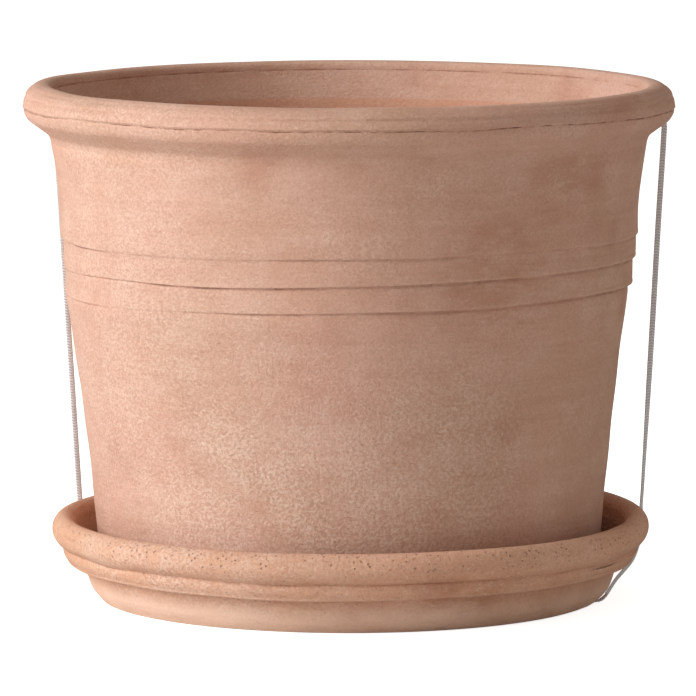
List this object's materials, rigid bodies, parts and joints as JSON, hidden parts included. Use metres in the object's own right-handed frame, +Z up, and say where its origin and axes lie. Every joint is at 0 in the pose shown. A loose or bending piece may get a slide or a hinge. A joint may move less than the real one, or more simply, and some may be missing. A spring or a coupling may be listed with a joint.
{
  "type": "terracotta flower pot with saucer",
  "caption": "Round tapered clay flower pot with a rolled lip and stepped bands, standing in a matching rimmed saucer and held to it by a flat elastic tie.",
  "frame": {"origin": "centre of the saucer's foot, on the surface that it stands on", "axes": "+Z up along the pot's axis; the front is -Y; +X to the right seen from the front"},
  "size_m": [0.28, 0.28, 0.222],
  "materials": {
    "pot_clay": "unglazed fired clay, matt, with pale mineral bloom, fine turning lines and small pits",
    "saucer_clay": "unglazed fired clay, matt, a little pinker and more even than the pot",
    "braid": "flat braided elastic, off-white, slightly soiled"
  },
  "bodies": {
    "saucer": {"saucer": "saucer_clay", "tie_cord": "braid"},
    "pot": {"pot": "pot_clay", "knot_left": "braid", "knot_right": "braid"}
  },
  "joints": [
    {"name": "pot_lift", "type": "slide", "parent": "saucer", "child": "pot", "axis": [0, 0, 1], "range_m": [0, 0.06], "stiffness_N_per_m": 80, "springref_m": -0.025, "deforming": ["tie_cord"]}
  ]
}
